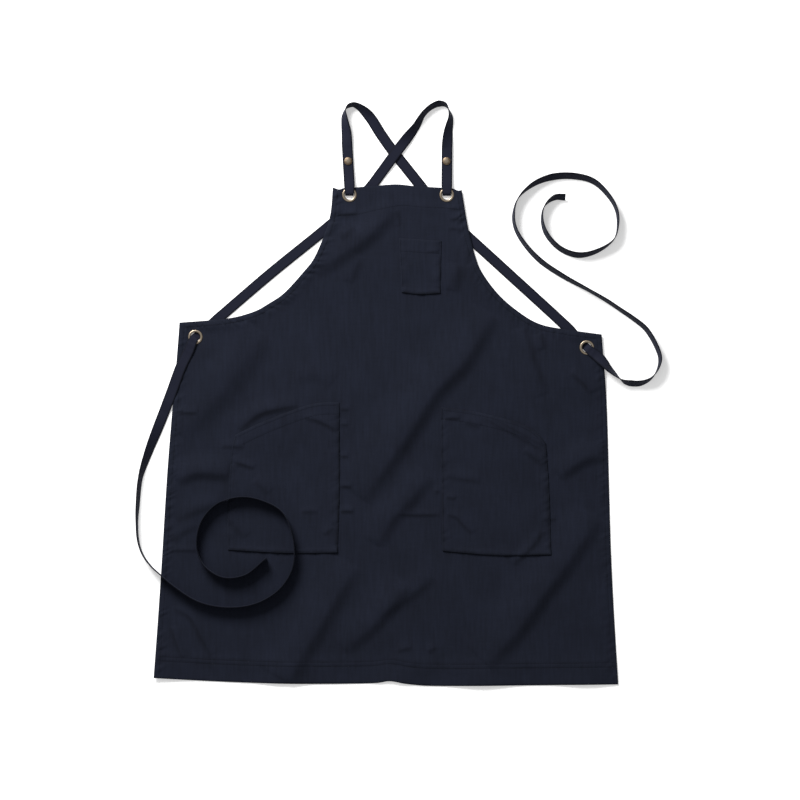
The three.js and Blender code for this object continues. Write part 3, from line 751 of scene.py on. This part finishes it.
for number, (node, (_, mouth_stitches, edge_painted_shade, flat, area)) in enumerate(POCKETS.items()):
    edges = pocket_edges[node]
    mouth, *seams = edges
    mouth_lines = [inset_line(mouth, offset, (3, 3)) for offset in mouth_stitches]
    seam_lines = [inset_line(seam, SEAM_STITCH, (2, 2)) for seam in seams]
    lines = [*mouth_lines, *seam_lines]
    # Painted shade along the stitch lines: faint at the mouth, darker along the seams.
    line_painted_shade = [*(0.12 for line in mouth_lines), *(0.6 * painted_shade for painted_shade in edge_painted_shade[1:])]
    sewn = list(zip(lines, line_painted_shade))
    under = pocket_under(node)

    def pocket_top(spots):
        height = under(spots) + relief(spots) + CLOTH
        fold = mouth_stitches[-1]
        height += TURNED_EDGE * smooth_step(-nearest_on(mouth, spots, 30)[0], -fold - 1, -fold + 2)
        for i, seam in enumerate(seams):
            height += SEAM_RISE[i] * smooth_step(-nearest_on(seam, spots, 14)[0], -10, -2)
            height += puckers(spots, seam, 1.8, 14, 13, 70 + 5 * number + i)
        return height - grooves(spots, sewn)

    pocket = cloth_object(
        "laid_" + node,
        edges,
        [],
        [*beside(lines, (-1.2, 0.0, 1.2)), *crease_rows],
        pocket_top,
        under,
        painted_seam_shade(list(zip(edges, edge_painted_shade)), sewn, 84 + 3 * number),
        POCKET_GRID,
    )
    stitches = stitch_object(node + "_stitches", lines, pocket_top, 22 + number)
    for piece in (pocket, stitches):
        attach(piece, "root")
    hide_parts(node)

# Eyelets. Antiqued brass rings clenched through the cloth: a rolled front rim, a barrel and a plate behind.
# The brass is tarnished brown in the hollows and worn bright on the crown; the bright crest line and the
# brown flanks of the rim are also painted highlight and painted shade.
EYELET_HOLE = 8.8
EYELET_BARREL = 9.8
EYELET_FLANGE = 13.6
EYELET_PLATE = 1.0
EYELET_CROWN = 1.3
EDGE_ROUND = 0.35
TURNED_SIDES = 72
BRIGHT_BRASS = (0.47, 0.4, 0.31)
BROWN_BRASS = (0.085, 0.052, 0.026)

tarnish_and_light_group, tarnish_and_light_in, tarnish_and_light_out = new_group("brass_tarnish_and_painted_light", [("Amount", 0.85)], ["Mask", "Roughness"])
tarnish_place = tarnish_and_light_group.nodes.new("ShaderNodeTexCoord").outputs["Object"]
tarnish_and_painted_light = stretched_noise(tarnish_and_light_group, tarnish_place, (420.0, 420.0, 420.0), detail=4.0)
# The point attribute adds tarnish in the hollows, painted shade on the flanks and a painted highlight on the
# crest.
patina_and_painted_light = add_node(tarnish_and_light_group, "ShaderNodeAttribute", attribute_name="patina_and_painted_light").outputs["Fac"]
tarnish_and_painted_light = math_node(tarnish_and_light_group, "MULTIPLY_ADD", tarnish_and_painted_light, 1.1, patina_and_painted_light)
tarnish_and_painted_light = math_node(tarnish_and_light_group, "MULTIPLY", tarnish_and_painted_light, tarnish_and_light_in.outputs["Amount"])
tarnish_and_painted_light = math_node(tarnish_and_light_group, "MINIMUM", math_node(tarnish_and_light_group, "MAXIMUM", tarnish_and_painted_light, 0.0), 1.0)
tarnish_and_light_group.links.new(tarnish_and_painted_light, tarnish_and_light_out.inputs["Mask"])
rough = math_node(tarnish_and_light_group, "MULTIPLY_ADD", tarnish_and_painted_light, 0.3, 0.24)
tarnish_and_light_group.links.new(rough, tarnish_and_light_out.inputs["Roughness"])

brass, brass_shader = new_material("antique_brass", BRIGHT_BRASS, 0.3, metallic=1.0)
brass_tarnish_and_painted_light = add_node(brass.node_tree, "ShaderNodeGroup", node_tree=tarnish_and_light_group)
brass_colour = add_node(
    brass.node_tree,
    "ShaderNodeMix",
    {0: brass_tarnish_and_painted_light.outputs["Mask"], 6: (*BRIGHT_BRASS, 1.0), 7: (*BROWN_BRASS, 1.0)},
    data_type="RGBA",
).outputs[2]
brass.node_tree.links.new(brass_colour, brass_shader.inputs["Base Color"])
brass.node_tree.links.new(brass_tarnish_and_painted_light.outputs["Roughness"], brass_shader.inputs["Roughness"])


def half_round(outer, inner, level, height, end, count, crest_narrowing):
    """Radius, height and share of tarnish and painted shade of points over a half round, from its outer end
    to the angle end. The last argument is how soon the bright crest, worn and partly a painted highlight,
    gives way to brown flanks of painted shade."""
    middle, reach = (outer + inner) / 2, (outer - inner) / 2
    angles = np.radians(np.linspace(0, end, count))
    return [
        (middle + reach * math.cos(a), level + height * math.sin(a), 1 - math.sin(a) ** crest_narrowing) for a in angles
    ]


def turned_object(name, profile, at):
    """A brass piece turned about an upright axis, from rows of radius, height and tarnish with painted shade.
    """
    profile = np.array(profile)
    angles = np.arange(TURNED_SIDES) * math.tau / TURNED_SIDES
    points = []
    for radius, height, _ in profile:
        points += [(at[0] + radius * math.cos(a), at[1] + radius * math.sin(a), height) for a in angles]
    count = len(profile)
    faces = []
    for k in range(count - 1):
        for i in range(TURNED_SIDES):
            j = (i + 1) % TURNED_SIDES
            low, high = k * TURNED_SIDES, (k + 1) * TURNED_SIDES
            faces.append((low + i, low + j, high + j, high + i))
    thing = mesh_object(name, points, faces, brass)
    thing.data.attributes.new("patina_and_painted_light", "FLOAT", "POINT").data.foreach_set(
        "value", np.repeat(profile[:, 2], TURNED_SIDES)
    )
    return thing


for node, at in eyelet_at.items():
    face = SEAT + CLOTH + GAP
    back = SEAT - GAP
    profile = [
        (EYELET_HOLE, back - EYELET_PLATE + EDGE_ROUND, 1.0),
        (EYELET_HOLE + EDGE_ROUND, back - EYELET_PLATE, 0.8),
        (EYELET_FLANGE - EDGE_ROUND, back - EYELET_PLATE, 0.5),
        (EYELET_FLANGE, back, 0.8),
        (EYELET_BARREL, back, 1.0),
        (EYELET_BARREL, face, 1.0),
        *half_round(EYELET_FLANGE, EYELET_HOLE, face, EYELET_CROWN, 180, 17, 4),
        (EYELET_HOLE, back - EYELET_PLATE + EDGE_ROUND, 1.0),
    ]
    ring = turned_object("turned_" + node, profile, at)
    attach(ring, "root")
    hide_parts(node)

# Shoulder straps. Cotton twill tape with a herringbone face and firm woven edges. Each is folded up through
# its bib eyelet, held by a snap, goes over in a loop, crosses behind the neck and runs behind the bib to the
# waist.
STRAP_THICK = 1.8
STRAP_WIDTH = 20
STRAP_STEP = 2.5
TAPE_COLOUR = (0.0074, 0.0084, 0.0164)
CHEVRON_PITCH = 1.9
FOLD_LEAN = (386, 456)
# The snapped fold: y, lift over the floor and width
SNAPPED_FOLD = [
    (452, 1.6, 20), (442, 1.6, 20), (420, 1.6, 20), (402, 0.9, 20), (386, 0.15, 19), (376, 0.1, 16.5),
    (370.5, 0.3, 16), (367.5, 3.4, 16), (370.5, 6.5, 16), (376, 6.9, 18), (386, 6.5, 20), (402, 4.7, 20),
    (420, 3.75, 20), (442, 3.75, 20),
]
# The loops, to the waist: x, y, lift, roll about the strap's own length and width
STRAPS = {
    "strap_left": ("eyelet_bib_left", [
        (-71, 456, 3.4, 2, 20), (-72.5, 485, 0.5, 26, 20), (-74.5, 499, 0.1, 43, 20),
        (-76, 513, 0.1, 58, 20),
        (-74.5, 527, 0.1, 88, 20), (-68.5, 533.5, 0.1, 106, 20), (-59.5, 536, 0.1, 112, 20),
        (-45, 529, 0.1, 129, 20), (-29, 513, 0.1, 166, 20), (-9, 482, 0.1, 180, 20),
        (12, 452.2, 0.1, 180, 20),
        (39, 418.2, 0.1, 180, 20), (66, 384.2, 0.1, 180, 20), (96, 346.4, 0.1, 180, 20),
        (110, 331.2, 0.1, 180, 20), (213.3, 236.3, 0.1, 180, 19.5), (342, 118, 0.1, 180, 19.5),
        (352, 107.2, 0.1, 180, 18), (359.6, 99.6, 0.1, 180, 16),
    ]),
    "strap_right": ("eyelet_bib_right", [
        (114.5, 456, 3.4, -2, 20), (116.5, 485, 0.5, -36, 20), (119, 499, 0.1, -50, 20),
        (121, 513, 0.1, -66, 20), (117.5, 527, 0.1, -88, 20), (111, 536, 0.1, -108, 20),
        (100, 538, 0.1, -121, 20), (87, 533, 0.1, -117, 20),
        (76, 524.5, 0.1, -115, 20), (68, 515, 0.1, -117, 20), (57, 495.5, 0.5, -133, 20),
        (38.5, 471.5, 2, -166, 20), (28, 458, 2.5, -180, 20), (8, 431, 2.5, -180, 20),
        (-8, 409, 0.7, -180, 20),
        (-26, 385, 0.1, -180, 20), (-55, 353.5, 0.1, -180, 20), (-111.5, 304.8, 0.1, -180, 20),
        (-213.2, 222.4, 0.1, -180, 20), (-313, 136.9, 0.1, -180, 19.5), (-336.4, 117.2, 0.1, -180, 16),
    ]),
}

tape_group, tape_in, tape_out = new_group(
    "herringbone_tape", [("Pitch", CHEVRON_PITCH * MM)], ["Shade", "Relief"]
)
tape_axes = add_node(
    tape_group, "ShaderNodeSeparateXYZ", {0: tape_group.nodes.new("ShaderNodeTexCoord").outputs["UV"]}
).outputs
from_middle = math_node(tape_group, "ABSOLUTE", tape_axes["X"])
chevron = math_node(tape_group, "ADD", tape_axes["Y"], from_middle)
chevron = math_node(tape_group, "DIVIDE", chevron, tape_in.outputs["Pitch"])
chevron = math_node(tape_group, "SINE", math_node(tape_group, "MULTIPLY", chevron, math.tau))
tape_group.links.new(chevron, tape_out.inputs["Relief"])
# Painted shade darkens the tape towards both edges and a painted highlight lightens its middle, as on a
# cupped tape.
tape_painted_edge_shade = add_node(
    tape_group,
    "ShaderNodeMapRange",
    {0: from_middle, 1: 0.30 * STRAP_WIDTH * MM, 2: 0.47 * STRAP_WIDTH * MM, 3: 1.08, 4: 0.5},
    interpolation_type="SMOOTHSTEP",
).outputs[0]
tape_place = tape_group.nodes.new("ShaderNodeTexCoord").outputs["UV"]
tape_streak = stretched_noise(tape_group, tape_place, (700.0, 25.0, 1.0))
tape_shade = math_node(tape_group, "MULTIPLY_ADD", chevron, 0.09, tape_painted_edge_shade)
tape_shade = math_node(tape_group, "MULTIPLY_ADD", tape_streak, 0.25, tape_shade)
tape_group.links.new(tape_shade, tape_out.inputs["Shade"])

webbing, webbing_shader = new_material("navy_tape", TAPE_COLOUR, 0.8, specular=0.09)
webbing_shader.inputs["Sheen Weight"].default_value = 0.03
webbing_shader.inputs["Sheen Roughness"].default_value = 0.45
webbing_shader.inputs["Sheen Tint"].default_value = (0.45, 0.52, 0.75, 1.0)
tape_weave = add_node(webbing.node_tree, "ShaderNodeGroup", node_tree=tape_group)
tape_colour = add_node(
    webbing.node_tree,
    "ShaderNodeVectorMath",
    {0: TAPE_COLOUR, 1: tape_weave.outputs["Shade"]},
    operation="MULTIPLY",
).outputs[0]
webbing.node_tree.links.new(tape_colour, webbing_shader.inputs["Base Color"])
tape_bump = add_node(
    webbing.node_tree,
    "ShaderNodeBump",
    {"Height": tape_weave.outputs["Relief"], "Strength": 0.4, "Distance": 0.2 * MM},
)
webbing.node_tree.links.new(tape_bump.outputs[0], webbing_shader.inputs["Normal"])

cloth_outlines = {
    node: np.vstack([edge[:-1] for edge in edges])
    for node, edges in {"body_panel": panel_edges, **pocket_edges}.items()
}
cloth_undersides = {"body_panel": laid_height, **{node: pocket_under(node) for node in POCKETS}}


def rest_height(spots):
    """Height of whatever a tie lies on: the topmost cloth near by, or the floor."""
    reach = 0.6 * STRAP_WIDTH
    height = np.zeros(len(spots))
    for step in ((0, 0), (reach, 0), (-reach, 0), (0, reach), (0, -reach)):
        near = spots + step
        for node, outline in cloth_outlines.items():
            level = cloth_undersides[node](near) + CLOTH + GAP
            height = np.where(inside(outline, near), np.maximum(height, level), height)
    return height


def strap_object(name, rows, first_side, end_fold=0.0):
    """A flat tape swept along rows of x, y, over, lift, roll and width, and the line that it follows. Over is
    the share of the cloth's height that it lies on, and first_side the way that its width points at first."""
    rows = np.array(rows, float)
    line, at_row = curve_through(rows[:, [0, 1, 3]], STRAP_STEP)
    over, roll, width = (np.interp(at_row, np.arange(len(rows)), rows[:, k]) for k in (2, 4, 5))
    roll = np.radians(roll)
    rest = rest_height(line[:, :2])
    blur = np.ones(9) / 9
    rest = np.convolve(np.pad(rest, 4, mode="edge"), blur, mode="valid")
    line[:, 2] += (width * abs(np.sin(roll)) + STRAP_THICK * abs(np.cos(roll))) / 2 + over * rest
    run = np.concatenate([[0], np.cumsum(np.linalg.norm(np.diff(line, axis=0), axis=1))])
    along = np.gradient(line, axis=0)
    along /= np.linalg.norm(along, axis=1)[:, None]
    side = np.array(first_side, float) / np.linalg.norm(first_side)
    shares = np.linspace(-1, 1, 9)
    section = [(s, 1.0) for s in shares] + [(s, -1.0) for s in shares[::-1]]
    points = []
    marks = []
    for i, at in enumerate(line):
        level = np.cross(along[i], (0, 0, 1))
        if np.linalg.norm(level) < 0.1:
            level = side - along[i] * (side @ along[i])
        level /= np.linalg.norm(level)
        side = level if level @ side >= 0 else -level
        across = side * math.cos(roll[i]) + np.cross(side, along[i]) * math.sin(roll[i])
        through = np.cross(across, along[i])
        thick = STRAP_THICK * (1 + end_fold * smooth_step(run[i], run[-1] - 15, run[-1] - 13))
        for share, face in section:
            soft = 1 - 0.3 * smooth_step(abs(share), 0.85, 1.0)
            points.append(at + across * share * width[i] / 2 + through * face * soft * thick / 2)
            marks.append((share * STRAP_WIDTH / 2 * MM, run[i] * MM))
    count = len(section)
    faces = [tuple(range(count))[::-1]]
    for i in range(len(line) - 1):
        for k in range(count):
            a, b = i * count + k, i * count + (k + 1) % count
            faces.append((a, b, b + count, a + count))
    faces.append(tuple(range((len(line) - 1) * count, len(line) * count)))
    strap = mesh_object(name, points, faces, webbing)
    layer = strap.data.uv_layers.new(name="tape")
    corner = np.zeros(len(strap.data.loops), int)
    strap.data.loops.foreach_get("vertex_index", corner)
    layer.data.foreach_set("uv", np.array(marks)[corner].ravel())
    return strap, line


for node, (eyelet, loop) in STRAPS.items():
    fold = []
    for y, lift, width in SNAPPED_FOLD:
        x = np.interp(y, FOLD_LEAN, (eyelet_at[eyelet][0], loop[0][0]))
        fold.append((x, y, 0, lift, 0, width))
    route = [*fold, *((x, y, 0, lift, roll, width) for x, y, lift, roll, width in loop)]
    strap, _ = strap_object("woven_" + node, route, (1, 0, 0))
    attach(strap, "root")
    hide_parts(node)

# Snaps. Each closes a strap's fold: a domed brass cap on the face, a post through both layers and a stud
# behind. They are the same antiqued brass as the eyelets.
SNAP_CAP = 7.5
SNAP_DOME = 2.2
SNAP_POST = 2.0
SNAP_STUD = 5.5
SNAP_PLATE = 1.2
SNAP_ROUND = 0.4
SNAP_SEAT = 3.75 + STRAP_THICK + GAP

for node in ("snap_left", "snap_right"):
    profile = [
        (0.0, 0.0, 0.6),
        (SNAP_STUD - SNAP_ROUND, 0.0, 0.6),
        (SNAP_STUD, SNAP_ROUND, 0.6),
        (SNAP_STUD, SNAP_PLATE, 0.8),
        (SNAP_POST, SNAP_PLATE, 1.0),
        (SNAP_POST, SNAP_SEAT, 1.0),
        (SNAP_CAP - SNAP_ROUND, SNAP_SEAT, 1.0),
        # The dome's colour carries a painted highlight on top, fading to painted shade towards its edge.
        *half_round(SNAP_CAP, -SNAP_CAP, SNAP_SEAT + SNAP_ROUND, SNAP_DOME - SNAP_ROUND, 89, 14, 9),
    ]
    snap = turned_object("turned_" + node, profile, centre_of(node))
    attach(snap, "root")
    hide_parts(node)

# Ties. The free ends of the straps come up through the waist eyelets. The right one loops out to the side
# and curls up, the left one runs down the side and winds into a loose coil on the hip pocket. Mostly they
# stand on edge.
# Each tie: the way its width points at first, and rows of x, y, share of the cloth's height lain on, lift,
# roll and width
TIES = {
    "tie_right": ((-1, -1, 0), [
        (359.9, 99.3, 0, 0.1, 0, 16), (368.7, 90.3, 0, 0.1, 0, 15), (372.1, 86.9, 0, 0.25, 0, 15),
        (374.4, 84.6, 0, 3.4, 0, 15), (376.7, 82.3, 0, 6.75, 0, 15.5), (382, 77.6, 0, 6.9, 0, 17.5),
        (393, 69.5, 1, 1.2, 8, 19.5), (404, 58.5, 1, 0.6, 33, 20), (411, 50.5, 1, 0.4, 46, 20),
        (417.6, 43.5, 0.5, 0.4, 57, 20), (427, 34.2, 0, 0.3, 70, 20), (436, 26.4, 0, 0.1, 88, 20),
        (446, 20.6, 0, 0.1, 112, 20), (456, 18.2, 0, 0.1, 122, 20), (473, 18, 0, 0.1, 119, 20),
        (492, 26, 0, 0.1, 102, 20), (504.5, 41, 0, 0.1, 86, 20), (510.5, 62, 0, 0.1, 74, 20),
        (506, 81, 0, 0.1, 70, 20), (485, 118, 0, 0.1, 68, 20), (464, 136, 0, 0.1, 69, 20),
        (437, 154.5, 0, 0.1, 72, 20), (410, 172.5, 0, 0.1, 73, 20), (378, 191, 0, 0.1, 76, 20),
        (327, 219, 0, 0.1, 67, 20), (287, 246.5, 0, 0.1, 65, 20), (258.5, 277, 0, 0.1, 70, 20),
        (242, 305, 0, 0.1, 75, 20), (238, 330, 0, 0.1, 78, 20), (246, 361, 0, 0.1, 90, 20),
        (274, 387.5, 0, 0.1, 112, 20), (310, 401.5, 0, 0.1, 125, 20), (352, 403, 0, 0.1, 123, 20),
        (386.5, 393.5, 0, 0.1, 117, 20), (412.5, 369.5, 0, 0.1, 110, 20), (429, 341.5, 0, 0.1, 104, 20),
        (432, 313, 0, 0.1, 98, 20), (425, 286.5, 0, 0.1, 88, 20), (393.5, 264, 0, 0.1, 70, 20),
        (358, 256.5, 0, 0.1, 61, 20), (324, 269, 0, 0.1, 65, 20), (298, 298, 0, 0.1, 69, 20),
        (291, 327, 0, 0.1, 82, 20), (296, 348, 0, 0.1, 92, 20), (315, 363.5, 0, 0.1, 118, 20),
        (334.5, 364, 0, 0.1, 123, 20),
    ]),
    "tie_left": ((-1, 1, 0), [
        (-336.8, 116.9, 0, 0.1, 0, 16), (-347, 109.1, 0, 0.1, 0, 15), (-350.8, 106.4, 0, 0.25, 0, 15),
        (-353.4, 104.2, 0, 3.4, 0, 15), (-355.5, 101.6, 0, 6.75, 0, 15.5), (-359.4, 94, 0, 6.9, 0, 17.5),
        (-366, 78, 1, 1.4, 0, 19.5), (-380.5, 48, 1, 0.8, 0, 20), (-396, 6, 1, 0.5, 0, 20),
        (-411, -34, 1, 0.3, 4, 20), (-423.5, -66, 0.4, 0.3, 20, 20), (-440.5, -110, 0, 0.1, 44, 20),
        (-455.5, -158, 0, 0.1, 69, 20), (-460.5, -208, 0, 0.1, 73, 20), (-462, -240, 0, 0.1, 82, 20),
        (-459.5, -275, 0, 0.1, 84, 20), (-451.5, -299.5, 0, 0.1, 86, 20), (-436, -321.5, 0.5, 0.8, 88, 20),
        (-418, -338, 1, 0.8, 90, 20), (-393, -359, 1, 0.8, 90, 20), (-346, -388, 1, 0.8, 90, 20),
        (-291, -398, 1, 0.8, 90, 20), (-239, -390, 1, 0.8, 90, 20), (-197, -364, 1, 0.8, 90, 20),
        (-173, -325, 1, 0.8, 90, 20), (-171, -276, 1, 0.8, 90, 20), (-191, -222, 1, 0.8, 90, 20),
        (-231, -199, 1, 0.8, 90, 20), (-271, -193, 1, 0.8, 90, 20), (-315, -207, 1, 0.8, 90, 20),
        (-343, -240, 1, 0.8, 90, 20), (-351, -285, 1, 0.8, 90, 20), (-338, -319, 1, 0.8, 90, 20),
        (-303, -342, 1, 0.8, 90, 20), (-262, -338, 1, 0.8, 90, 20), (-222, -307, 1, 0.8, 90, 20),
    ]),
}
END_FOLD = 0.35

for node, (first_side, route) in TIES.items():
    tie, line = strap_object("woven_" + node, route, first_side, END_FOLD)
    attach(tie, "root")
    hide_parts(node)
